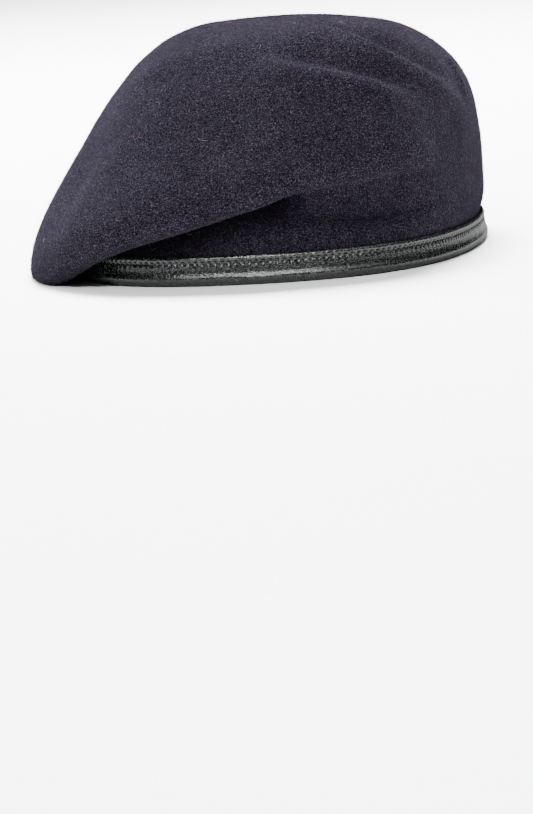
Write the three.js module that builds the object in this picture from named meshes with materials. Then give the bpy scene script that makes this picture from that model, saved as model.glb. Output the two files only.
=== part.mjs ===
import * as THREE from 'three';

// Military beret: a moulded wool felt crown in a leather binding round the head opening.
// Millimetres, +Z up. The front faces -Y, the wearer's left is +X, the floor is Z = 0.

const FELT_THICKNESS = 2;
const LEATHER_THICKNESS = 1;
const FIT_GAP = 0.3;
const BAND_HEIGHT = 12;
const FELT_EDGE_HEIGHT = 2.5;
const FLOOR_GAP = 0.1;

// Head opening, measured to the middle of the felt wall
const HALF_WIDTH = 83.5;
const HALF_LENGTH = 103;
const BACK_WIDENING = 0.05;
const SQUARENESS = 0.035;

// Crown centre, where every section ends
const CROWN_X = -4;
const CROWN_Y = 4;
const CROWN_HEIGHT = 99;
const CROWN_FLAT = 0.36;
const CROWN_FLAT_HEIGHT = 98.2;

// Places between the table's points: share of the rise from band to tuck, from tuck to lip and from side
// to lip, the tuck's share of its outward reach halfway up, and its fullness there
const BETWEEN_SHARE = 0.45;
const OVER_LIP_SHARE = 0.66;
const TUCK_SHARE = 0.7;
const TUCK_FULLNESS = 0.6;
// How far inside and above the band the felt's edge stands straight
const STRAIGHT_BELOW = 5;
const STRAIGHT_ABOVE = 1;
// Height over which the overhang rounds off on to the floor
const REST_BLEND = 1.2;

// Sections of the crown from the wearer's left round by the back, closest where the overhang ends.
// tuck: where the felt leaves the band wall; lip: lowest part of the overhang, inner and outer side;
// sides: widest part above it; rim: where the top begins. Out is millimetres outside the opening,
// reach is a share of the way from the crown centre to the opening.
const SECTIONS = [
  // azimuth, tuckOut, tuckHeight, lipIn, lipHeight, lipOut, sideReach, sideHeight, rimReach, rimHeight
  [0, 2, 24, 1.4, 36, 1.2, 0.962, 74, 0.752, 95],
  [30, 2.5, 26, 2.8, 38, 3.2, 1.01, 70, 0.72, 92],
  [60, 3, 28, 7, 36, 9.5, 1.07, 63, 0.71, 90],
  [90, 2.5, 28, 11, 25, 18, 1.09, 53, 0.71, 88],
  [120, 2.5, 29, 13, 12, 24, 1.09, 45, 0.7, 87],
  [150, 2.5, 30, 13, 2, 23.5, 1.08, 43, 0.68, 86.5],
  [180, 2.5, 31, 11, -5, 19, 1.02, 44, 0.65, 86],
  [210, 2, 35, 8, -5.5, 24, 0.982, 45, 0.625, 86.8],
  [236, 1.5, 43, 7, 16.5, 22, 0.975, 48.5, 0.64, 88.8],
  [256, 1, 48, 5, 22.5, 16.5, 0.98, 51.3, 0.645, 89.5],
  [269, 1, 43, 4.5, 30.5, 14.5, 0.983, 53, 0.652, 90],
  [279, 1, 40, 4.5, 32.5, 13, 0.987, 55, 0.658, 90.5],
  [288, 3, 27, 4, 34.5, 4.6, 0.99, 57, 0.665, 91],
  [300, 3.8, 23, 3.8, 40, 4, 0.992, 61, 0.68, 91.6],
  [334, 2.5, 24, 2, 40, 2.2, 0.967, 71, 0.73, 94.3],
];

// Folds and hollows of the felt, each along an arc seen from inside the crown: azimuth and elevation in
// degrees at start, middle and end, then the width in millimetres to the left and to the right of the way
// along it, seen from outside, and the depth. A negative depth is a hollow.
const FOLD_EYE = new THREE.Vector3(0, 0, 20);
const FOLDS = [
  // startAz, startEl, middleAz, middleEl, endAz, endEl, leftWidth, rightWidth, depth
  { name: 'upper_ridge', arc: [-54, 58, -37, 37, -5, 26], leftWidth: 4, rightWidth: 10, depth: 2.7 },
  { name: 'upper_valley', arc: [-46, 60, -30, 42, -4, 31], leftWidth: 9, rightWidth: 4, depth: -2.8 },
  { name: 'lower_ridge', arc: [-80, 44, -60, 35.2, -40, 24.5], leftWidth: 4, rightWidth: 11, depth: 2.6 },
  { name: 'lower_valley', arc: [-78, 49, -57, 38, -37, 28], leftWidth: 7, rightWidth: 4, depth: -1.2 },
  { name: 'corner_ridge', arc: [4, 43, -3, 32, -6, 24], leftWidth: 4.5, rightWidth: 4.5, depth: 1.5 },
  { name: 'crown_edge', arc: [-146, 36, -115, 49, -75, 58], leftWidth: 7, rightWidth: 7, depth: 1.2 },
  { name: 'lobe_bevel', arc: [-152, 28, -146, 8, -148, -6], leftWidth: 7, rightWidth: 7, depth: 1.2 },
  { name: 'lobe_hollow', arc: [-140, 26, -134, 8, -138, -4], leftWidth: 8, rightWidth: 8, depth: -0.8 },
  { name: 'brow_edge', arc: [-84, 9.2, -62, 11.6, -34, 14.8], leftWidth: 9, rightWidth: 4, depth: 2.8 },
  { name: 'brow_hollow', arc: [-88, 5, -66, 2.5, -40, 4], leftWidth: 13, rightWidth: 7, depth: -5.5 },
  { name: 'brow_crease', arc: [-84, 5, -64, 1, -40, 2.8], leftWidth: 4, rightWidth: 4, depth: -1.6 },
  { name: 'side_hollow', arc: [-46, 17, -33, 20, -18, 20], leftWidth: 8, rightWidth: 10, depth: -1.5 },
];
const FOLD_STEPS = 32;
const FOLD_TAPER = 0.32;

// Mesh of the draped pieces: columns round the head and rows in each span of a section
const COLUMNS = 70;
const FRONT_DENSITY = 0.3;
const FRONT_DIRECTION = -75;
const ROWS_IN_SPAN = [1, 2, 2, 2, 3, 3, 3, 3, 3, 3, 3, 3, 2, 2];
const LAST_SPAN = ROWS_IN_SPAN.length;

const FELT = { color: 0x2c2b38, roughness: 0.95, metalness: 0 };
const LEATHER = { color: 0x17191a, roughness: 0.45, metalness: 0 };

const radians = THREE.MathUtils.degToRad;
const smooth = (x) => THREE.MathUtils.smoothstep(x, 0, 1);

// Blend of four neighbours that makes a smooth line through a row of values
function blendWeights(k) {
  const rest = 1 - k;
  return [
    rest * rest * rest / 6,
    (3 * k * k * k - 6 * k * k + 4) / 6,
    (3 * rest * rest * rest - 6 * rest * rest + 4) / 6,
    k * k * k / 6,
  ];
}

// Rounded oval of the head opening, a little wider at the back
function opening(azimuth) {
  const c = Math.cos(azimuth) - SQUARENESS * Math.cos(3 * azimuth);
  const s = Math.sin(azimuth) + SQUARENESS * Math.sin(3 * azimuth);
  const widening = 1 + BACK_WIDENING * Math.sin(azimuth);
  return new THREE.Vector2(HALF_WIDTH * c * widening, HALF_LENGTH * s).divideScalar(1 - SQUARENESS);
}

function openingNormal(azimuth) {
  const step = 1e-4;
  const along = opening(azimuth + step).sub(opening(azimuth - step)).normalize();
  return new THREE.Vector2(along.y, -along.x);
}

// Place of an azimuth among the section rows, counted smoothly from row to row
function rowOf(azimuth) {
  const degrees = THREE.MathUtils.euclideanModulo(THREE.MathUtils.radToDeg(azimuth), 360);
  const count = SECTIONS.length;
  const rowAzimuth = (row) => SECTIONS[(row + count) % count][0] + 360 * Math.floor(row / count);
  const first = SECTIONS.filter(([rowStart]) => rowStart <= degrees).length - 1;
  const start = rowAzimuth(first);
  const end = rowAzimuth(first + 1);
  const gap = end - start;
  const slopeIn = 2 / (end - rowAzimuth(first - 1));
  const slopeOut = 2 / (rowAzimuth(first + 2) - start);
  const k = (degrees - start) / gap;
  return first + smooth(k) + gap * (slopeIn * k * (1 - k) ** 2 - slopeOut * k ** 2 * (1 - k));
}

// Sizes of the section at any azimuth, blended from the table
function sectionAt(azimuth) {
  const row = rowOf(azimuth);
  const first = Math.floor(row);
  const weights = blendWeights(row - first);
  const sizes = SECTIONS[0].map(() => 0);
  weights.forEach((weight, i) => {
    const index = (first + i - 1 + SECTIONS.length * 2) % SECTIONS.length;
    SECTIONS[index].forEach((value, column) => { sizes[column] += weight * value; });
  });
  const [, tuckOut, tuckHeight, lipIn, lipHeight, lipOut, sideReach, sideHeight, rimReach, rimHeight] = sizes;
  return { tuckOut, tuckHeight, lipIn, lipHeight, lipOut, sideReach, sideHeight, rimReach, rimHeight };
}

// Control points of one section, from the felt's edge inside the band up to the crown centre
function sectionPoints(azimuth) {
  const size = sectionAt(azimuth);
  const base = opening(azimuth);
  const centre = new THREE.Vector2(CROWN_X, CROWN_Y);
  const ray = base.clone().sub(centre);
  const unit = ray.clone().normalize();
  const out = (distance, height) => {
    const p = base.clone().addScaledVector(unit, distance);
    return new THREE.Vector3(p.x, p.y, height);
  };
  const reach = (share, height) => {
    const p = centre.clone().addScaledVector(ray, share);
    return new THREE.Vector3(p.x, p.y, height);
  };
  const mix = THREE.MathUtils.lerp;
  return [
    out(0, FELT_EDGE_HEIGHT),
    out(0, FELT_EDGE_HEIGHT),
    out(0, FELT_EDGE_HEIGHT),
    out(0, BAND_HEIGHT - STRAIGHT_BELOW),
    out(0, BAND_HEIGHT + STRAIGHT_ABOVE),
    out(TUCK_SHARE * size.tuckOut + TUCK_FULLNESS, mix(BAND_HEIGHT, size.tuckHeight, BETWEEN_SHARE)),
    out(size.tuckOut, size.tuckHeight),
    out(size.lipIn, mix(size.tuckHeight, size.lipHeight, BETWEEN_SHARE)),
    out(size.lipIn, size.lipHeight),
    out(size.lipOut, size.lipHeight),
    out(size.lipOut, mix(size.sideHeight, size.lipHeight, OVER_LIP_SHARE)),
    reach(size.sideReach, size.sideHeight),
    reach(size.rimReach, size.rimHeight),
    reach(CROWN_FLAT, CROWN_FLAT_HEIGHT),
    reach(0, CROWN_HEIGHT),
    reach(0, CROWN_HEIGHT),
    reach(0, CROWN_HEIGHT),
  ];
}

// The overhang spreads flat where it rests, instead of passing through the floor
function restOnFloor(height) {
  const rest = FELT_THICKNESS / 2 + FLOOR_GAP;
  if (height >= rest + REST_BLEND) return height;
  if (height <= rest - REST_BLEND) return rest;
  return rest + (height - rest + REST_BLEND) ** 2 / (4 * REST_BLEND);
}

// Middle of the felt wall before the folds: span counts control points from edge to centre
function smoothWall(points, span) {
  const first = Math.min(Math.floor(span), points.length - 4);
  const p = new THREE.Vector3();
  blendWeights(span - first).forEach((weight, i) => p.addScaledVector(points[first + i], weight));
  p.z = restOnFloor(p.z);
  return p;
}

// Points along each fold's arc, as directions from the eye
const foldPaths = FOLDS.map(({ arc, leftWidth, rightWidth, depth }) => {
  const bend = (k, start, middle, end) =>
    start * (1 - k) * (1 - 2 * k) + middle * 4 * k * (1 - k) + end * k * (2 * k - 1);
  const directions = [];
  for (let i = 0; i <= FOLD_STEPS; i += 1) {
    const k = i / FOLD_STEPS;
    const azimuth = radians(bend(k, arc[0], arc[2], arc[4]));
    const elevation = radians(bend(k, arc[1], arc[3], arc[5]));
    directions.push(new THREE.Vector3(
      Math.cos(elevation) * Math.cos(azimuth),
      Math.cos(elevation) * Math.sin(azimuth),
      Math.sin(elevation),
    ));
  }
  const leftward = directions.map((direction, i) => {
    const before = directions[Math.max(i - 1, 0)];
    const after = directions[Math.min(i + 1, FOLD_STEPS)];
    return direction.clone().cross(after.clone().sub(before));
  });
  return { directions, leftward, leftWidth, rightWidth, depth };
});

// How far the folds lift the felt along its own normal
function foldLift(point) {
  const ray = point.clone().sub(FOLD_EYE);
  const distance = ray.length();
  ray.divideScalar(distance);
  let lift = 0;
  foldPaths.forEach(({ directions, leftward, leftWidth, rightWidth, depth }) => {
    const closeness = directions.map((direction) => direction.dot(ray));
    const nearest = closeness.indexOf(Math.max(...closeness));
    const off = Math.acos(Math.min(1, closeness[nearest])) * distance;
    const width = leftward[nearest].dot(ray) > 0 ? leftWidth : rightWidth;
    const k = nearest / FOLD_STEPS;
    const taper = smooth(Math.min(k, 1 - k) / FOLD_TAPER);
    lift += depth * taper * Math.exp(-((off / width) ** 2));
  });
  return lift;
}

function normalOf(surface, azimuth, span, lastSpan) {
  const turn = 1e-3;
  const step = 1e-3;
  const low = Math.max(0, span - step);
  const high = Math.min(lastSpan, span + step);
  const around = surface(azimuth + turn, span).sub(surface(azimuth - turn, span));
  const up = surface(azimuth, high).sub(surface(azimuth, low));
  return around.cross(up).normalize();
}

function foldedWall(azimuth, span) {
  const plain = (a, s) => smoothWall(sectionPoints(a), s);
  const point = plain(azimuth, span);
  const lift = foldLift(point);
  if (Math.abs(lift) < 1e-3) return point;
  point.addScaledVector(normalOf(plain, azimuth, span, LAST_SPAN), lift);
  point.z = restOnFloor(point.z);
  return point;
}

function azimuthOfColumn(column) {
  const even = column / COLUMNS * 2 * Math.PI;
  return even - FRONT_DENSITY * Math.sin(even - radians(FRONT_DIRECTION));
}

// A piece turned round the head: profile rows become rings, and each ring follows place(azimuth, row)
function drape(profile, place, material, name) {
  const geometry = new THREE.LatheGeometry(profile, COLUMNS);
  const position = geometry.attributes.position;
  for (let column = 0; column <= COLUMNS; column += 1) {
    const azimuth = azimuthOfColumn(column % COLUMNS);
    for (let row = 0; row < profile.length; row += 1) {
      const p = place(azimuth, row);
      position.setXYZ(column * profile.length + row, p.x, p.y, p.z);
    }
  }
  geometry.computeVertexNormals();
  const mesh = new THREE.Mesh(geometry, new THREE.MeshStandardMaterial(material));
  mesh.name = name;
  return mesh;
}

// Crown: the outer face from the edge to the centre, then the inner face back to the edge
function crown() {
  const spans = [];
  ROWS_IN_SPAN.forEach((rows, span) => {
    for (let row = 0; row < rows; row += 1) spans.push(span + row / rows);
  });
  const faces = [];
  faces.push({ span: LAST_SPAN, side: -1 });
  spans.slice().reverse().forEach((span) => faces.push({ span, side: -1 }));
  spans.forEach((span) => faces.push({ span, side: 1 }));
  faces.push({ span: LAST_SPAN, side: 1 });
  const profile = faces.map(({ span, side }) => {
    const share = 1 - span / LAST_SPAN;
    return new THREE.Vector2(HALF_WIDTH * share, CROWN_HEIGHT * (1 - share) + side);
  });
  const place = (azimuth, row) => {
    const { span, side } = faces[row];
    const offset = side * FELT_THICKNESS / 2;
    if (span === LAST_SPAN) return new THREE.Vector3(CROWN_X, CROWN_Y, CROWN_HEIGHT + offset);
    const point = foldedWall(azimuth, span);
    return point.addScaledVector(normalOf(foldedWall, azimuth, span, LAST_SPAN), offset);
  };
  return drape(profile, place, FELT, 'crown');
}

// Band: one strip of leather folded under the felt's edge, rolled full on the outer side
function band() {
  const inner = FELT_THICKNESS / 2 + FIT_GAP;
  const outer = inner + LEATHER_THICKNESS;
  const floor = FELT_EDGE_HEIGHT - FIT_GAP;
  const section = [
    // out from the middle of the felt wall, height
    [outer, BAND_HEIGHT],
    [inner + 0.3, BAND_HEIGHT],
    [inner, BAND_HEIGHT - 2.5],
    [inner, floor],
    [-inner, floor],
    [-inner, BAND_HEIGHT],
    [-outer, BAND_HEIGHT],
    [-outer, 1.4],
    [-outer + 1, 0],
    [outer - 0.2, 0],
    [outer + 1.3, 1],
    [outer + 1.7, 2.8],
    [outer + 1, 5],
    [outer + 0.4, BAND_HEIGHT - 2.6],
    [outer + 0.6, BAND_HEIGHT - 1],
    [outer, BAND_HEIGHT],
  ];
  const profile = section.map(([out, height]) => new THREE.Vector2(HALF_WIDTH + out, height));
  const place = (azimuth, row) => {
    const [out, height] = section[row];
    const p = opening(azimuth).addScaledVector(openingNormal(azimuth), out);
    return new THREE.Vector3(p.x, p.y, height);
  };
  return drape(profile, place, LEATHER, 'band');
}

const group = new THREE.Group();
group.name = 'military_beret';
group.add(crown(), band());

// Put the middle of the underside at the origin
const box = new THREE.Box3().setFromObject(group);
const middle = box.getCenter(new THREE.Vector3());
group.children.forEach((mesh) => mesh.geometry.translate(-middle.x, -middle.y, -box.min.z));

export default group;
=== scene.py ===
import math
import bmesh
import bpy
import numpy as np
from mathutils import Matrix, Vector, noise


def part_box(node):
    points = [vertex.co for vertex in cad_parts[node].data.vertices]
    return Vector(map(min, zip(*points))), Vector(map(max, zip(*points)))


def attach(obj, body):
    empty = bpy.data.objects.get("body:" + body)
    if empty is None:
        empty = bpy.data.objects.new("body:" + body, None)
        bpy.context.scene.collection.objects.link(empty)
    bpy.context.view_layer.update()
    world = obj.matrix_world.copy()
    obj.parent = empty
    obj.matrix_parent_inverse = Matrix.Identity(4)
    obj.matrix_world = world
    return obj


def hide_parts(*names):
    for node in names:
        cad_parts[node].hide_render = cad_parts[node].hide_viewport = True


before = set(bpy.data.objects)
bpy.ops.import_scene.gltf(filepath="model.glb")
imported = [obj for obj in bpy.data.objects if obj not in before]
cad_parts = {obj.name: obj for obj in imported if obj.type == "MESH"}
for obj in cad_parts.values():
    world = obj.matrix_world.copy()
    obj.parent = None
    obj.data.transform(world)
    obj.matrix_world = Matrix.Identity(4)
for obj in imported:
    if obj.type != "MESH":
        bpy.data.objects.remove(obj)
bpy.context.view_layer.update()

# Military beret: a wool felt crown in its worn shape, and the stitched leather band round its opening.
# Metres, +Z up. The front faces -Y, the wearer's left is +X, the floor is Z = 0.

MM = 0.001

# The shapes below are worked out in millimetres round the middle of the head opening
BAND_LOW, BAND_HIGH = (Vector(corner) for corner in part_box("band"))
CENTRE = Vector(((BAND_LOW.x + BAND_HIGH.x) / 2, (BAND_LOW.y + BAND_HIGH.y) / 2, BAND_LOW.z))

FELT_THICKNESS = 2.0
LEATHER_THICKNESS = 1.0
FIT_GAP = 0.3
BAND_HEIGHT = 12.0
FELT_EDGE_HEIGHT = 2.5
FLOOR_GAP = 0.1

# Head opening, measured to the middle of the felt wall
HALF_WIDTH = 83.5
HALF_LENGTH = 103.0
BACK_WIDENING = 0.05
SQUARENESS = 0.035

# Crown centre, where every section ends
CROWN_CENTRE = np.array([-4.0, 4.0])
CROWN_HEIGHT = 99.0
CROWN_FLAT = 0.36
CROWN_FLAT_HEIGHT = 98.2

# Sections of the crown from the wearer's left round by the back, closest where the overhang ends.
# Tuck and lip are millimetres out from the opening. Side and rim are shares of the way out from the
# crown centre to the opening.
SECTION_COLUMNS = ("azimuth", "tuck_out", "tuck_height", "lip_in", "lip_height", "lip_out",
                   "side_reach", "side_height", "rim_reach", "rim_height")
SECTIONS = (
    (0, 2, 24, 1.4, 36, 1.2, 0.962, 74, 0.752, 95),
    (30, 2.5, 26, 2.8, 38, 3.2, 1.01, 70, 0.72, 92),
    (60, 3, 28, 7, 36, 9.5, 1.07, 63, 0.71, 90),
    (90, 2.5, 28, 11, 25, 18, 1.09, 53, 0.71, 88),
    (120, 2.5, 29, 13, 12, 24, 1.09, 45, 0.7, 87),
    (150, 2.5, 30, 13, 2, 23.5, 1.08, 43, 0.68, 86.5),
    (180, 2.5, 31, 11, -5, 19, 1.02, 44, 0.65, 86),
    (210, 2, 35, 8, -5.5, 24, 0.982, 45, 0.625, 86.8),
    (236, 1.5, 43, 7, 16.5, 22, 0.975, 48.5, 0.64, 88.8),
    (256, 1, 48, 5, 22.5, 16.5, 0.98, 51.3, 0.645, 89.5),
    (269, 1, 43, 4.5, 30.5, 14.5, 0.983, 53, 0.652, 90),
    (279, 1, 40, 4.5, 32.5, 13, 0.987, 55, 0.658, 90.5),
    (288, 3, 27, 4, 34.5, 4.6, 0.99, 57, 0.665, 91),
    (300, 3.8, 23, 3.8, 40, 4, 0.992, 61, 0.68, 91.6),
    (334, 2.5, 24, 2, 40, 2.2, 0.967, 71, 0.73, 94.3),
)

# Share of the way between two heights where a section passes, from tuck to lip and from side to lip,
# the tuck's share of its outward reach halfway up, and its fullness there
BETWEEN_SHARE = 0.45
OVER_LIP_SHARE = 0.66
TUCK_SHARE = 0.7
TUCK_FULLNESS = 0.6
# How far inside and above the band the felt's edge stands straight
STRAIGHT_BELOW = 5
STRAIGHT_ABOVE = 1
# Height over which the overhang rounds off on to the floor
REST_BLEND = 1.2

# Folds and hollows of the felt, each along an arc seen from inside the crown: azimuth and elevation in
# degrees at start, middle and end, then the width in millimetres to the left and to the right of the way
# along it, seen from outside, and the height. A negative height is a hollow.
FOLD_EYE = np.array([0.0, 0.0, 20.0])
FOLDS = (
    # name, start, middle, end, left_width, right_width, height
    ("upper_ridge", (-60, 70), (-41.5, 38.8), (-5, 26), 2.6, 10.0, 3.1),
    ("upper_valley", (-52, 70), (-34, 43.6), (-4, 31), 9.0, 3.5, -3.0),
    ("lower_ridge", (-88, 45.5), (-64, 34.8), (-40, 25.5), 2.6, 11.0, 2.9),
    ("lower_valley", (-87, 52.2), (-61, 38.0), (-37, 29), 7.0, 3.5, -1.6),
    ("corner_ridge", (4, 43), (-3, 32), (-6, 24), 3.0, 3.0, 1.5),
    ("crown_edge", (-146, 36), (-115, 49), (-75, 58), 7.0, 7.0, 1.2),
    ("lobe_bevel", (-152, 28), (-146, 8), (-148, -6), 7.0, 7.0, 1.2),
    ("lobe_hollow", (-140, 26), (-134, 8), (-138, -4), 8.0, 8.0, -0.8),
    ("brow_edge", (-84, 9.2), (-62, 11.6), (-34, 14.8), 9.0, 2.6, 3.0),
    ("brow_hollow", (-88, 5), (-66, 2.5), (-40, 4), 13.0, 7.0, -6.0),
    ("brow_crease", (-92, 5.5), (-66, 0.8), (-38, 3.6), 1.8, 2.4, -2.6),
    ("side_hollow", (-46, 17), (-33, 20), (-18, 20), 8.0, 10.0, -1.5),
)
FOLD_STEPS = 48
FOLD_TAPER = 0.32

# Slow unevenness of the felt where it is free of the band: height and length of its long and short waves
FREE_ABOVE_SPAN = 2.5
LONG_WAVE_HEIGHT = 0.55
LONG_WAVE = 26
SHORT_WAVE_HEIGHT = 0.2
SHORT_WAVE = 11
SHORT_WAVE_SHIFT = Vector((7, 3, 5))

# Painted shade, darkening the felt's colour in its recesses: width of the overhang's ledge that gets the
# full painted shade, the span at which the painted shade ends, how far it reaches below the lip, then the
# depth of hollow for a full painted shade and the most that a hollow gets
FULL_LEDGE = 7
SHADE_ENDS_AT_SPAN = 6.5
SHADE_BELOW_LIP = 12
FULL_HOLLOW = 20
HOLLOW_SHADE = 0.5

# Mesh of the crown: columns round the head, closest towards the folds, and the rows in each span
CROWN_COLUMNS = 480
FRONT_DENSITY = 0.35
FRONT_DIRECTION = math.radians(-55)
ROWS_IN_SPAN = (1, 2, 3, 4, 6, 7, 7, 7, 8, 13, 15, 15, 9, 4)
LAST_SPAN = len(ROWS_IN_SPAN)

# Fibres on the felt grow from just under its skin, from above the band up and clear of the floor
FIBRE_ROOT = 0.15
FIBRES_ABOVE_SPAN = 2.2
FIBRES_ABOVE_FLOOR = 2.4
NAP_FIBRES = 48000
NAP_LENGTH = 0.85
NAP_WIDTH = 0.13
# Height of a loose hair's root, bow and tip over the skin, and where along and beside it the bow lies
HAIR_ROOT = -0.2
HAIR_BOW = 1.3
HAIR_TIP = 0.2
BOW_ALONG = 0.45
BOW_BESIDE = 0.55
RED = (0.085, 0.008, 0.018)
PALE = (0.08, 0.076, 0.09)

# Thread in the band
STITCH_COUNT = 226
STITCH_HEIGHT = BAND_HEIGHT - 2.6
STITCH_LENGTH = 1.5
STITCH_WIDTH = 0.55
STITCH_DEPTH = 0.5
STITCH_STANDS_OUT = 0.24

# Leather band: columns of its mesh at each stitch, how far the thread draws the leather in, height and
# length of its slow waves, and the plain ring that its mesh starts as
BAND_COLUMNS_PER_STITCH = 6
STITCH_PULL = 0.75
BAND_WAVE_HEIGHT = 0.12
BAND_WAVE = 9
RING_RADIUS = 100
BAND_INNER = FELT_THICKNESS / 2 + FIT_GAP
BAND_OUTER = BAND_INNER + LEATHER_THICKNESS
BAND_FLOOR = FELT_EDGE_HEIGHT - FIT_GAP
BAND_SECTION = (
    # out from the middle of the felt wall, height, share of the thread's pull
    # outer leaf, the side against the felt
    (BAND_OUTER - 0.15, BAND_HEIGHT, 0.0),
    (BAND_INNER + 0.45, BAND_HEIGHT, 0.0),
    (BAND_INNER + 0.3, BAND_HEIGHT - 0.3, 0.0),
    (BAND_INNER, BAND_HEIGHT - 2.5, 0.0),
    (BAND_INNER, BAND_FLOOR, 0.0),
    # inner leaf, up along the felt and down along the head
    (-BAND_INNER, BAND_FLOOR, 0.0),
    (-BAND_INNER, BAND_HEIGHT, 0.0),
    (-BAND_OUTER + 0.1, BAND_HEIGHT, 0.0),
    (-BAND_OUTER, BAND_HEIGHT - 0.2, 0.0),
    (-BAND_OUTER, 1.4, 0.0),
    (-BAND_OUTER + 0.3, 0.5, 0.0),
    (-BAND_OUTER + 1, 0, 0.0),
    # underside and roll
    (BAND_OUTER - 0.2, 0, 0.0),
    (BAND_OUTER + 0.7, 0.35, 0.0),
    (BAND_OUTER + 1.3, 1.0, 0.0),
    (BAND_OUTER + 1.62, 1.9, 0.0),
    (BAND_OUTER + 1.72, 2.8, 0.0),
    (BAND_OUTER + 1.66, 3.4, 0.0),
    (BAND_OUTER + 1.5, 3.9, 0.05),
    (BAND_OUTER + 1.3, 4.35, 0.05),
    # face up to the stitches
    (BAND_OUTER + 1.13, 4.8, 0.1),
    (BAND_OUTER + 0.96, 5.4, 0.1),
    (BAND_OUTER + 0.81, 6.2, 0.15),
    (BAND_OUTER + 0.7, 7.2, 0.2),
    (BAND_OUTER + 0.6, 8.4, 0.35),
    (BAND_OUTER + 0.5, 9.1, 0.8),
    (BAND_OUTER + 0.42, STITCH_HEIGHT, 1.0),
    # bead over the stitches
    (BAND_OUTER + 0.46, 9.8, 0.8),
    (BAND_OUTER + 0.62, 10.4, 0.35),
    (BAND_OUTER + 0.54, 10.9, 0.2),
    (BAND_OUTER + 0.38, 11.3, 0.1),
    (BAND_OUTER + 0.13, 11.7, 0.1),
)

# Photograph: where the middle of the opening's underside sits in it, and the scale there
PHOTO_WIDTH = 533
PHOTO_HEIGHT = 814
PHOTO_CENTRE_X = 280.0
PHOTO_CENTRE_Y = 252.8
PIXELS_PER_MM = 2.347
CAMERA_DISTANCE = 1.6
CAMERA_ELEVATION = math.radians(6.555)
CAMERA_AZIMUTH = math.radians(8.0)
CAMERA_ROLL = math.radians(3.77)
SENSOR_HEIGHT = 36.0

# Studio in metres and watts: the floor, the lights, the height that they aim at over the band's
# underside, and the glow of walls and ceiling by height, from the horizon up
FLOOR_RADIUS = 14
LIGHTS = (
    # name, place, width and height, power
    ("key", (-0.1, -1.85, 1.4), (2.3, 0.3), 86),
    ("left_strip", (-1.6, -0.9, 1.4), (1.2, 0.25), 3),
    ("right_strip", (1.6, -0.95, 1.4), (1.2, 0.2), 8),
    ("rim", (-1.3, 1.1, 1.0), (0.8, 0.8), 45),
    ("overhead", (-0.2, 1.3, 2.1), (1.2, 1.2), 660),
)
LIGHT_AIM_HEIGHT = 0.05
SKY_GLOW = ((0.0, 0.08), (0.5, 0.42), (1.0, 0.7))


def blend_weights(k):
    """Blend of four neighbours that makes a smooth line through a row of values."""
    rest = 1 - k
    return (rest ** 3 / 6, (3 * k ** 3 - 6 * k ** 2 + 4) / 6,
            (3 * rest ** 3 - 6 * rest ** 2 + 4) / 6, k ** 3 / 6)


def opening(azimuth):
    """Rounded oval of the head opening, a little wider at the back."""
    across = (np.cos(azimuth) - SQUARENESS * np.cos(3 * azimuth)) / (1 - SQUARENESS)
    along = (np.sin(azimuth) + SQUARENESS * np.sin(3 * azimuth)) / (1 - SQUARENESS)
    widening = 1 + BACK_WIDENING * np.sin(azimuth)
    return np.stack([HALF_WIDTH * across * widening, HALF_LENGTH * along], -1)


def opening_normal(azimuth):
    """Level direction straight out from the opening."""
    step = 1e-4
    along = opening(azimuth + step) - opening(azimuth - step)
    along /= np.linalg.norm(along, axis=-1, keepdims=True)
    return np.stack([along[..., 1], -along[..., 0]], -1)


def row_of(azimuth):
    """Place of an azimuth among the section rows, counted smoothly from row to row."""
    degrees = np.degrees(azimuth) % 360
    rows = np.array([row[0] for row in SECTIONS], float)
    wrapped = np.concatenate([rows[-1:] - 360, rows, rows[:2] + 360])
    first = np.searchsorted(rows, degrees, side="right") - 1
    start, end = wrapped[first + 1], wrapped[first + 2]
    slope_in = 2 / (end - wrapped[first])
    slope_out = 2 / (wrapped[first + 3] - start)
    gap = end - start
    k = (degrees - start) / gap
    rise = 3 * k ** 2 - 2 * k ** 3
    lead_in = k * (1 - k) ** 2 * gap * slope_in
    lead_out = k ** 2 * (k - 1) * gap * slope_out
    return first + rise + lead_in + lead_out


def section_sizes(azimuth):
    """Sizes of the section at each azimuth, blended from the table, by column name."""
    table = np.array(SECTIONS, float)
    row = row_of(azimuth)
    first = np.floor(row).astype(int)
    sizes = 0
    for i, weight in enumerate(blend_weights(row - first)):
        sizes = sizes + weight[:, None] * table[(first + i - 1) % len(table)]
    return dict(zip(SECTION_COLUMNS, sizes.T))


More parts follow.
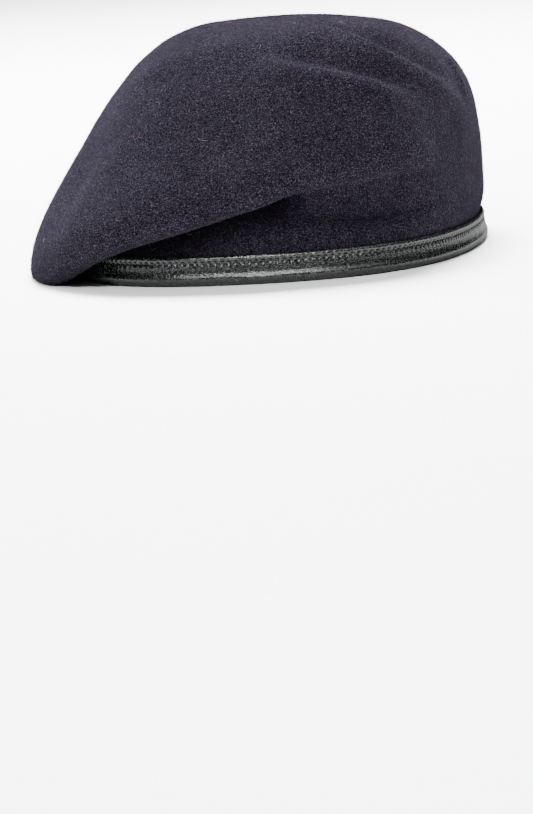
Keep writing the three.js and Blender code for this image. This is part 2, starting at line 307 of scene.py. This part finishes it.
def section_points(azimuth):
    """Control points of the sections, from the felt's edge inside the band up to the crown centre."""
    size = section_sizes(azimuth)
    base = opening(azimuth)
    ray = base - CROWN_CENTRE
    unit = ray / np.linalg.norm(ray, axis=1, keepdims=True)
    level = np.ones(len(azimuth))

    def out(distance, height):
        return np.column_stack([base + unit * (level * distance)[:, None], level * height])

    def reach(share, height):
        return np.column_stack([CROWN_CENTRE + ray * (level * share)[:, None], level * height])

    def mix(a, b, share):
        return a + (b - a) * share

    above_band = mix(BAND_HEIGHT, size["tuck_height"], BETWEEN_SHARE)
    under_lip = mix(size["tuck_height"], size["lip_height"], BETWEEN_SHARE)
    over_lip = mix(size["side_height"], size["lip_height"], OVER_LIP_SHARE)
    edge = out(0, FELT_EDGE_HEIGHT)
    top = reach(0, CROWN_HEIGHT)
    return np.stack([
        edge, edge, edge,
        out(0, BAND_HEIGHT - STRAIGHT_BELOW),
        out(0, BAND_HEIGHT + STRAIGHT_ABOVE),
        out(TUCK_SHARE * size["tuck_out"] + TUCK_FULLNESS, above_band),
        out(size["tuck_out"], size["tuck_height"]),
        out(size["lip_in"], under_lip),
        out(size["lip_in"], size["lip_height"]),
        out(size["lip_out"], size["lip_height"]),
        out(size["lip_out"], over_lip),
        reach(size["side_reach"], size["side_height"]),
        reach(size["rim_reach"], size["rim_height"]),
        reach(CROWN_FLAT, CROWN_FLAT_HEIGHT),
        top, top, top,
    ])


def rest_on_floor(height):
    """The overhang spreads flat where it rests, instead of passing through the floor."""
    rest = FELT_THICKNESS / 2 + FLOOR_GAP
    curved = rest + (height - rest + REST_BLEND) ** 2 / (4 * REST_BLEND)
    lifted = np.where(height >= rest + REST_BLEND, height, curved)
    return np.where(height <= rest - REST_BLEND, rest, lifted)


def smooth_wall(azimuth, span):
    """Middle of the felt wall before the folds: span counts control points from edge to centre."""
    points = section_points(azimuth)
    first = np.minimum(np.floor(span).astype(int), len(points) - 4)
    column = np.arange(len(azimuth))
    place = 0
    for i, weight in enumerate(blend_weights(span - first)):
        place = place + weight[:, None] * points[first + i, column]
    place[:, 2] = rest_on_floor(place[:, 2])
    return place


def fold_path(start, middle, end):
    """Directions along a fold's arc as seen from the eye, with how far along the arc each one is."""
    k = np.linspace(0, 1, FOLD_STEPS + 1)

    def bend(a, b, c):
        return np.radians(a * (1 - k) * (1 - 2 * k) + b * 4 * k * (1 - k) + c * k * (2 * k - 1))

    azimuth, elevation = (bend(*angles) for angles in zip(start, middle, end))
    level = np.cos(elevation)
    return k, np.stack([level * np.cos(azimuth), level * np.sin(azimuth), np.sin(elevation)], 1)


def fold_lift(place):
    """How far the folds lift the felt along its own normal."""
    ray = place - FOLD_EYE
    distance = np.linalg.norm(ray, axis=1)
    ray = ray / distance[:, None]
    lift = np.zeros(len(place))
    for _, start, middle, end, left_width, right_width, height in FOLDS:
        k, path = fold_path(start, middle, end)
        closeness = ray @ path.T
        nearest = closeness.argmax(1)
        off = np.arccos(np.clip(closeness.max(1), -1, 1)) * distance
        leftward = np.cross(path, np.gradient(path, axis=0))[nearest]
        width = np.where(np.sum(ray * leftward, axis=1) > 0, left_width, right_width)
        taper = np.clip(np.minimum(k, 1 - k)[nearest] / FOLD_TAPER, 0, 1)
        lift += height * taper * taper * (3 - 2 * taper) * np.exp(-(off / width) ** 2)
    return lift


def smooth_normal(azimuth, span):
    """Outward normal of the felt wall before the folds. It points up at the crown centre."""
    step = 1e-3
    tiny = 1e-12
    over = np.minimum(span + step, LAST_SPAN)
    under = np.maximum(span - step, 0)
    around = smooth_wall(azimuth + step, span) - smooth_wall(azimuth - step, span)
    up = smooth_wall(azimuth, over) - smooth_wall(azimuth, under)
    normal = np.cross(around, up)
    length = np.linalg.norm(normal, axis=1, keepdims=True)
    return np.where(length > tiny, normal / np.maximum(length, tiny), np.array([0.0, 0.0, 1.0]))


def unevenness(place):
    """Slow rises and dips of hand-shaped felt, in millimetres."""
    lift = np.empty(len(place))
    for i, p in enumerate(place):
        point = Vector(p)
        long_wave = noise.noise(point / LONG_WAVE)
        short_wave = noise.noise(point / SHORT_WAVE + SHORT_WAVE_SHIFT)
        lift[i] = LONG_WAVE_HEIGHT * long_wave + SHORT_WAVE_HEIGHT * short_wave
    return lift


def felt_wall(azimuth, span, out=0.0):
    """The felt's middle wall with its folds, or the skin that lies a given way out from it."""
    place = smooth_wall(azimuth, span)
    normal = smooth_normal(azimuth, span)
    free = np.clip(span - FREE_ABOVE_SPAN, 0, 1)
    lift = fold_lift(place) + free * unevenness(place)
    place = place + normal * lift[:, None] + normal * out
    place[:, 2] = np.maximum(place[:, 2], FELT_THICKNESS / 2 + FLOOR_GAP)
    return place


def to_metres(place):
    """Millimetres round the middle of the opening as metres in the shared frame."""
    return place * MM + np.array(CENTRE)


def wrapped_grid(columns, line):
    """A grid wrapped once round Z. Each row of it follows one point of a line: distance out, and height."""
    merge_distance = 1e-5
    shape = bmesh.new()
    last = len(line) - 1
    bmesh.ops.create_grid(shape, x_segments=columns, y_segments=last, size=1)
    for vert in shape.verts:
        turn = math.pi * (1 + vert.co.x)
        out, height = line[round((1 + vert.co.y) / 2 * last)]
        vert.co = (out * math.cos(turn), out * math.sin(turn), height)
    bmesh.ops.remove_doubles(shape, verts=shape.verts, dist=merge_distance)
    bmesh.ops.recalc_face_normals(shape, faces=shape.faces)
    return shape


def plain_dome(first_span=0):
    """A dome whose azimuth and height, counted in spans, name each vertex."""
    spans = []
    for span, rows in enumerate(ROWS_IN_SPAN):
        spans += [span + row / rows for row in range(rows)]
    spans = [span for span in spans if span >= first_span] + [LAST_SPAN]
    return wrapped_grid(CROWN_COLUMNS, [(LAST_SPAN - span, span) for span in spans])


def dome_azimuth(flat):
    """Azimuth of each vertex of the plain dome, drawn together towards the folds."""
    even = np.arctan2(flat[:, 1], flat[:, 0])
    return even - FRONT_DENSITY * np.sin(even - FRONT_DIRECTION)


def dome_places(out=0.0):
    """Function that sends the plain dome's vertices to the felt wall, or a given way out from it."""
    def place_at(flat):
        return felt_wall(dome_azimuth(flat), np.clip(flat[:, 2], 0, LAST_SPAN), out)
    return place_at


def painted_shade(azimuth, span, place):
    """How deep a vertex lies in a hollow or under the overhang, from 0 in the open to 1 under its lip: the
    share of shade painted into the felt's colour there.
    """
    size = section_sizes(azimuth)
    # Painted shade under the lip's overhang and, below, in the hollows of the folds
    ledge = np.clip((size["lip_out"] - size["lip_in"]) / FULL_LEDGE, 0, 1)
    below = np.maximum(size["lip_height"] - place[:, 2], 0)
    under_lip = ledge * np.clip(SHADE_ENDS_AT_SPAN - span, 0, 1) * np.exp(-(below / SHADE_BELOW_LIP) ** 2)
    hollow = np.clip(-fold_lift(smooth_wall(azimuth, span)) / FULL_HOLLOW, 0, HOLLOW_SHADE)
    return np.maximum(under_lip, hollow)


def mesh_of(name, shape):
    """Turns a bmesh into a mesh."""
    mesh = bpy.data.meshes.new(name)
    shape.to_mesh(mesh)
    shape.free()
    return mesh


def put_in_scene(name, data):
    """Adds an object to the scene."""
    thing = bpy.data.objects.new(name, data)
    bpy.context.scene.collection.objects.link(thing)
    return thing


def draped_object(name, shape, place_at, paint_shade=False):
    """Turns a plain bmesh into an object whose vertices go where place_at sends them, and on request stores
    the painted shade of each vertex.
    """
    mesh = mesh_of(name, shape)
    flat = np.empty(len(mesh.vertices) * 3)
    mesh.vertices.foreach_get("co", flat)
    flat = flat.reshape(-1, 3)
    place = place_at(flat)
    mesh.vertices.foreach_set("co", to_metres(place).ravel())
    if paint_shade:
        # Painted shade: how far the felt's colour is darkened under the lip and in hollows, stored per
        # vertex
        shade = mesh.attributes.new("painted_shade", "FLOAT", "POINT")
        shade.data.foreach_set("value", painted_shade(dome_azimuth(flat), flat[:, 2], place))
    mesh.shade_smooth()
    mesh.update()
    return put_in_scene(name, mesh)


def add_material(piece, material):
    """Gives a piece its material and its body."""
    piece.data.materials.append(material)
    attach(piece, "root")


def fill_ramp(ramp, stops):
    """Gives a colour ramp its stops, each a position and a colour."""
    while len(ramp.elements) < len(stops):
        ramp.elements.new(0.5)
    for element, (position, colour) in zip(ramp.elements, stops):
        element.position = position
        element.color = (*colour, 1)


class Nodes:
    """Short way to add and join the shader nodes of a material."""

    def __init__(self, name):
        self.material = bpy.data.materials.new(name)
        self.material.use_nodes = True
        self.tree = self.material.node_tree
        self.shader = self.tree.nodes["Principled BSDF"]
        self.place = self.add("TexCoord").outputs["Object"]

    def add(self, kind, **values):
        node = self.tree.nodes.new("ShaderNode" + kind)
        for name, value in values.items():
            node.inputs[name].default_value = value
        return node

    def join(self, source, target):
        self.tree.links.new(source, target)

    def finish(self, colour, **values):
        """Joins the colour to the shader and sets its other values, named with _ for a space."""
        self.join(colour, self.shader.inputs["Base Color"])
        for name, value in values.items():
            self.shader.inputs[name.replace("_", " ")].default_value = value
        return self.material

    def noise(self, scale, detail=2.0, rough=0.5, distortion=0.0):
        node = self.add("TexNoise", Scale=scale, Detail=detail, Roughness=rough, Distortion=distortion)
        self.join(self.place, node.inputs["Vector"])
        return node.outputs["Fac"]

    def ramp(self, value, stops):
        node = self.add("ValToRGB")
        fill_ramp(node.color_ramp, stops)
        self.join(value, node.inputs["Fac"])
        return node.outputs["Color"]

    def maths(self, operation, a, b):
        node = self.add("Math")
        node.operation = operation
        for socket, value in zip(node.inputs, (a, b)):
            if isinstance(value, (int, float)):
                socket.default_value = value
            else:
                self.join(value, socket)
        return node.outputs[0]

    def blend(self, *patterns):
        """Sum of some patterns, each with its share."""
        parts = [self.maths("MULTIPLY", pattern, share) for pattern, share in patterns]
        total = parts[0]
        for part in parts[1:]:
            total = self.maths("ADD", total, part)
        return total

    def bump(self, height, distance, strength=1.0, under=None):
        node = self.add("Bump", Strength=strength, Distance=distance)
        self.join(height, node.inputs["Height"])
        if under is not None:
            self.join(under, node.inputs["Normal"])
        return node.outputs["Normal"]


def felt_material():
    """Dark navy wool, mottled by its tufts, with painted shade that turns it nearly black in its recesses.
    """
    nodes = Nodes("felt")
    fuzz = nodes.noise(scale=1900, detail=2, rough=0.7, distortion=0.5)
    tufts = nodes.noise(scale=420, detail=3, rough=0.6, distortion=1.2)
    clouds = nodes.noise(scale=45, detail=3, rough=0.55)
    wool = nodes.ramp(nodes.blend((fuzz, 0.85), (tufts, 0.1), (clouds, 0.05)), (
        (0.38, (0.0010, 0.0009, 0.0014)),
        (0.47, (0.0044, 0.0038, 0.0060)),
        (0.57, (0.0166, 0.0145, 0.0218)),
        (0.68, (0.0460, 0.0412, 0.0536)),
    ))
    # Painted shade: the stored per-vertex shade mixes the wool up to 0.9 of the way towards this near black
    depth = nodes.add("Attribute")
    depth.attribute_name = "painted_shade"
    shaded = nodes.add("MixRGB", Color2=(0.0006, 0.0005, 0.0008, 1))
    most_shade = 0.9
    nodes.join(nodes.maths("MULTIPLY", depth.outputs["Fac"], most_shade), shaded.inputs["Fac"])
    nodes.join(wool, shaded.inputs["Color1"])
    pilled = nodes.bump(tufts, distance=0.0005, strength=0.6)
    nodes.join(nodes.bump(fuzz, distance=0.0006, under=pilled), nodes.shader.inputs["Normal"])
    return nodes.finish(shaded.outputs["Color"], Roughness=0.95, Specular_IOR_Level=0.0,
                        Sheen_Weight=0.04, Sheen_Roughness=0.15, Sheen_Tint=(0.66, 0.66, 0.85, 1))


def nap_material():
    """The felt's fibre ends, some nearly black and some catching the light."""
    nodes = Nodes("felt_nap")
    colour = nodes.ramp(nodes.noise(scale=1400, detail=1), (
        (0.44, (0.0014, 0.0013, 0.0020)),
        (0.52, (0.0090, 0.0079, 0.0118)),
        (0.60, (0.0370, 0.0331, 0.0439)),
    ))
    return nodes.finish(colour, Roughness=0.9, Specular_IOR_Level=0.03,
                        Sheen_Weight=0.07, Sheen_Roughness=0.2, Sheen_Tint=(0.75, 0.7, 0.95, 1))


def hair_material(name, colour):
    """A stray hair's colour, half as bright in places."""
    nodes = Nodes(name)
    dim = tuple(0.5 * part for part in colour)
    return nodes.finish(nodes.ramp(nodes.noise(scale=900, detail=1), ((0.4, dim), (0.6, colour))),
                        Roughness=0.8)


def leather_material():
    """Black pebbled leather with a half gloss, which comes from its coat alone."""
    nodes = Nodes("leather")
    pebbles = nodes.noise(scale=2000, detail=1)
    colour = nodes.ramp(pebbles, (
        (0.42, (0.0006, 0.0008, 0.0008)),
        (0.54, (0.0022, 0.0028, 0.0028)),
        (0.63, (0.0240, 0.0280, 0.0280)),
    ))
    grained = nodes.bump(pebbles, distance=0.00012)
    nodes.join(grained, nodes.shader.inputs["Normal"])
    nodes.join(grained, nodes.shader.inputs["Coat Normal"])
    return nodes.finish(colour, Roughness=0.5, Specular_IOR_Level=0.0,
                        Coat_Weight=0.105, Coat_Roughness=0.15, Coat_IOR=3.5)


def thread_material():
    """Black sewing thread."""
    nodes = Nodes("thread")
    colour = nodes.ramp(nodes.noise(scale=2200, detail=1), (
        (0.35, (0.002, 0.002, 0.002)),
        (0.65, (0.009, 0.009, 0.010)),
    ))
    return nodes.finish(colour, Roughness=0.6)


def floor_material():
    """Pale grey studio floor."""
    nodes = Nodes("pale_floor")
    colour = nodes.ramp(nodes.noise(scale=3, detail=2), ((0.3, (0.86,) * 3), (0.7, (0.89,) * 3)))
    return nodes.finish(colour, Roughness=0.7)


def felt_crown(material):
    """The moulded felt shell."""
    piece = draped_object("felt_crown", plain_dome(), dome_places(), paint_shade=True)
    wall = piece.modifiers.new("felt_thickness", "SOLIDIFY")
    wall.thickness = FELT_THICKNESS * MM
    wall.offset = 0
    add_material(piece, material)
    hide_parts("crown")


class Strewn:
    """Short fibres strewn over the felt's outer skin by geometry nodes, each a small solid of its own."""

    def __init__(self, name, count, seed):
        skin = dome_places(FELT_THICKNESS / 2 - FIBRE_ROOT)
        self.piece = draped_object(name, plain_dome(FIBRES_ABOVE_SPAN), skin)
        self.tree = bpy.data.node_groups.new(name, "GeometryNodeTree")
        for way in ("INPUT", "OUTPUT"):
            self.tree.interface.new_socket("Geometry", in_out=way, socket_type="NodeSocketGeometry")
        area = sum(face.area for face in self.piece.data.polygons)
        self.seed = seed
        self.points = self.add("DistributePointsOnFaces", Density=count / area, Seed=seed)
        height = self.tree.nodes.new("ShaderNodeSeparateXYZ")
        clear = self.tree.nodes.new("FunctionNodeCompare")
        clear.inputs["B"].default_value = CENTRE.z + FIBRES_ABOVE_FLOOR * MM
        self.join(self.add("InputPosition").outputs["Position"], height.inputs[0])
        self.join(height.outputs["Z"], clear.inputs["A"])
        self.join(clear.outputs["Result"], self.points.inputs["Selection"])

    def add(self, kind, **values):
        """Adds a node and sets its values, named with _ for a space."""
        node = self.tree.nodes.new("GeometryNode" + kind)
        for name, value in values.items():
            node.inputs[name.replace("_", " ")].default_value = value
        return node

    def join(self, source, target):
        self.tree.links.new(source, target)

    def random(self, low, high):
        """Three values at random for every fibre, from the next seed."""
        node = self.tree.nodes.new("FunctionNodeRandomValue")
        node.data_type = "FLOAT_VECTOR"
        self.seed += 1
        for name, value in (("Min", low), ("Max", high), ("Seed", self.seed)):
            node.inputs[name].default_value = value
        return node.outputs["Value"]

    def finish(self, fibre, lean, least, most, material):
        """Copies the fibre to every point, turned and stretched at random, as real mesh."""
        turned = self.tree.nodes.new("FunctionNodeRotateRotation")
        turned.rotation_space = "LOCAL"
        copies = self.add("InstanceOnPoints")
        real = self.add("RealizeInstances")
        dyed = self.add("SetMaterial", Material=material)
        self.join(self.tree.nodes.new("NodeGroupInput").outputs[0], self.points.inputs["Mesh"])
        self.join(self.points.outputs["Points"], copies.inputs["Points"])
        self.join(fibre.outputs["Mesh"], copies.inputs["Instance"])
        self.join(self.points.outputs["Rotation"], turned.inputs["Rotation"])
        self.join(self.random((-lean, -lean, -math.pi), (lean, lean, math.pi)), turned.inputs["Rotate By"])
        self.join(turned.outputs["Rotation"], copies.inputs["Rotation"])
        self.join(self.random(least, most), copies.inputs["Scale"])
        self.join(copies.outputs["Instances"], real.inputs["Geometry"])
        self.join(real.outputs["Geometry"], dyed.inputs["Geometry"])
        self.join(dyed.outputs["Geometry"], self.tree.nodes.new("NodeGroupOutput").inputs[0])
        self.piece.modifiers.new("fibres", "NODES").node_group = self.tree
        add_material(self.piece, material)


def felt_nap(material):
    """Dense short fibre ends that lean all ways, each a thin cone."""
    nap = Strewn("felt_nap", NAP_FIBRES, seed=3)
    fibre = nap.add("MeshCone", Vertices=3, Radius_Top=0, Radius_Bottom=NAP_WIDTH / 2 * MM,
                    Depth=NAP_LENGTH * MM)
    nap.finish(fibre, lean=1.25, least=(0.8, 0.8, 0.5), most=(1.2, 1.2, 1.25), material=material)


def loose_hairs(name, material, count, length, radius, seed):
    """Stray curly hairs that lie on the felt."""
    hairs = Strewn(name, count, seed)
    bow = hairs.add("CurveQuadraticBezier", Resolution=4, Start=(0, 0, HAIR_ROOT * MM),
                    Middle=(length * BOW_ALONG * MM, length * BOW_BESIDE * MM, HAIR_BOW * MM),
                    End=(length * MM, 0, HAIR_TIP * MM))
    ring = hairs.add("CurvePrimitiveCircle", Resolution=3, Radius=radius * MM)
    hair = hairs.add("CurveToMesh", Fill_Caps=True)
    hairs.join(bow.outputs["Curve"], hair.inputs["Curve"])
    hairs.join(ring.outputs["Curve"], hair.inputs["Profile Curve"])
    hairs.finish(hair, lean=0.25, least=(0.4, 0.2, 0.5), most=(1.2, 1.4, 1.2), material=material)


def band_place(azimuth, out, height):
    """Places beside the opening, a given way out from the middle of the felt wall."""
    around = opening(azimuth) + opening_normal(azimuth) * out[:, None]
    return np.column_stack([around, height])


def even_azimuths(count):
    """Azimuths that share the opening's length evenly, from azimuth zero."""
    steps = 7200
    fine = np.linspace(0, 2 * math.pi, steps + 1)
    lengths = np.linalg.norm(np.diff(opening(fine), axis=0), axis=1)
    travelled = np.concatenate([[0], np.cumsum(lengths)])
    return np.interp(np.arange(count) / count * travelled[-1], travelled, fine)


def leather_band(material):
    """One strip folded round the felt's edge, which dips at each stitch and puffs between them."""
    columns = STITCH_COUNT * BAND_COLUMNS_PER_STITCH
    azimuths = even_azimuths(columns)
    section = np.array(BAND_SECTION)
    ring = [(RING_RADIUS + row, row) for row in range(len(section))]

    def place_at(flat):
        turn = np.arctan2(flat[:, 1], flat[:, 0]) % (2 * math.pi)
        column = np.rint(turn / (2 * math.pi) * columns).astype(int) % columns
        azimuth = azimuths[column]
        out, height, share = section[np.rint(flat[:, 2]).astype(int)].T
        from_stitch = column / BAND_COLUMNS_PER_STITCH * 2 * math.pi
        pull = STITCH_PULL * share * (0.5 + 0.5 * np.cos(from_stitch)) ** 2
        wave = np.array([noise.noise(Vector((*p, 0)) / BAND_WAVE) for p in opening(azimuth)])
        return band_place(azimuth, out - pull + BAND_WAVE_HEIGHT * wave * (share > 0), height)

    piece = draped_object("leather_band", wrapped_grid(columns, ring + ring[:1]), place_at)
    shape = bmesh.new()
    shape.from_mesh(piece.data)
    bmesh.ops.recalc_face_normals(shape, faces=shape.faces)
    shape.to_mesh(piece.data)
    shape.free()
    add_material(piece, material)
    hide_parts("band")


def stitches(material):
    """Thread showing between the needle holes along the band."""
    shape = bmesh.new()
    size = Matrix.Diagonal((STITCH_LENGTH * MM, STITCH_DEPTH * MM, STITCH_WIDTH * MM, 1))
    level = np.ones(STITCH_COUNT)
    azimuths = even_azimuths(STITCH_COUNT)
    places = band_place(azimuths, level * (BAND_OUTER + STITCH_STANDS_OUT), level * STITCH_HEIGHT)
    for place, (x, y) in zip(to_metres(places), opening_normal(azimuths)):
        # a stitch's own axes point along the band, outwards and up
        turn = Matrix(((-y, x, 0), (x, y, 0), (0, 0, 1))).transposed().to_4x4()
        bmesh.ops.create_icosphere(shape, subdivisions=2, radius=0.5,
                                   matrix=Matrix.Translation(place) @ turn @ size)
    mesh = mesh_of("band_stitches", shape)
    mesh.shade_smooth()
    add_material(put_in_scene("band_stitches", mesh), material)


def floor():
    """Round studio floor, well past the picture's edges."""
    shape = bmesh.new()
    bmesh.ops.create_circle(shape, cap_ends=True, segments=64, radius=FLOOR_RADIUS)
    piece = put_in_scene("floor", mesh_of("floor", shape))
    piece.data.materials.append(floor_material())


def soft_light(name, place, size, power):
    """A softbox aimed at the beret."""
    light = bpy.data.lights.new(name, "AREA")
    light.shape = "RECTANGLE"
    light.size, light.size_y = size
    light.energy = power
    lamp = put_in_scene(name, light)
    lamp.location = place
    aim = CENTRE + Vector((0, 0, LIGHT_AIM_HEIGHT)) - lamp.location
    lamp.rotation_euler = aim.to_track_quat("-Z", "Y").to_euler()


def studio():
    """Lights, and a world that glows more the higher it is."""
    world = bpy.data.worlds.new("studio")
    world.use_nodes = True
    nodes = world.node_tree.nodes
    links = world.node_tree.links
    direction = nodes.new("ShaderNodeTexCoord")
    height = nodes.new("ShaderNodeSeparateXYZ")
    glow = nodes.new("ShaderNodeValToRGB")
    fill_ramp(glow.color_ramp, [(rise, (level,) * 3) for rise, level in SKY_GLOW])
    links.new(direction.outputs["Generated"], height.inputs[0])
    links.new(height.outputs["Z"], glow.inputs["Fac"])
    links.new(glow.outputs["Color"], nodes["Background"].inputs["Color"])
    bpy.context.scene.world = world
    for name, place, size, power in LIGHTS:
        soft_light(name, place, size, power)


def photo_camera():
    """Camera at the photograph's angle, rolled as it is, aimed so that the band falls on its place."""
    level = math.cos(CAMERA_ELEVATION)
    back = Vector((math.sin(CAMERA_AZIMUTH) * level, -math.cos(CAMERA_AZIMUTH) * level,
                   math.sin(CAMERA_ELEVATION)))
    right = Vector((math.cos(CAMERA_AZIMUTH), math.sin(CAMERA_AZIMUTH), 0))
    up = back.cross(right)
    rolled_right = right * math.cos(CAMERA_ROLL) - up * math.sin(CAMERA_ROLL)
    rolled_up = up * math.cos(CAMERA_ROLL) + right * math.sin(CAMERA_ROLL)
    straight = Matrix((rolled_right, rolled_up, back)).transposed()

    focal_pixels = PIXELS_PER_MM * CAMERA_DISTANCE / MM
    ray = Vector(((PHOTO_CENTRE_X - PHOTO_WIDTH / 2) / focal_pixels,
                  (PHOTO_HEIGHT / 2 - PHOTO_CENTRE_Y) / focal_pixels, -1))
    aim = ray.rotation_difference(Vector((0, 0, -1))).to_matrix()

    lens = bpy.data.cameras.new("photo_camera")
    lens.sensor_fit = "VERTICAL"
    lens.sensor_height = SENSOR_HEIGHT
    lens.lens = focal_pixels / PHOTO_HEIGHT * SENSOR_HEIGHT
    camera = put_in_scene("photo_camera", lens)
    camera.rotation_mode = "QUATERNION"
    camera.rotation_quaternion = (straight @ aim).to_quaternion()
    camera.location = CENTRE + back * CAMERA_DISTANCE
    bpy.context.scene.camera = camera


photo_camera()
studio()
floor()
felt_crown(felt_material())
nap = nap_material()
red_hair = hair_material("red_hair", RED)
pale_hair = hair_material("pale_hair", PALE)
felt_nap(nap)
loose_hairs("felt_fuzz", nap, count=7000, length=1.6, radius=0.04, seed=61)
loose_hairs("red_hairs", red_hair, count=130, length=3.2, radius=0.06, seed=21)
loose_hairs("pale_hairs", pale_hair, count=30, length=4.0, radius=0.055, seed=41)
leather_band(leather_material())
stitches(thread_material())
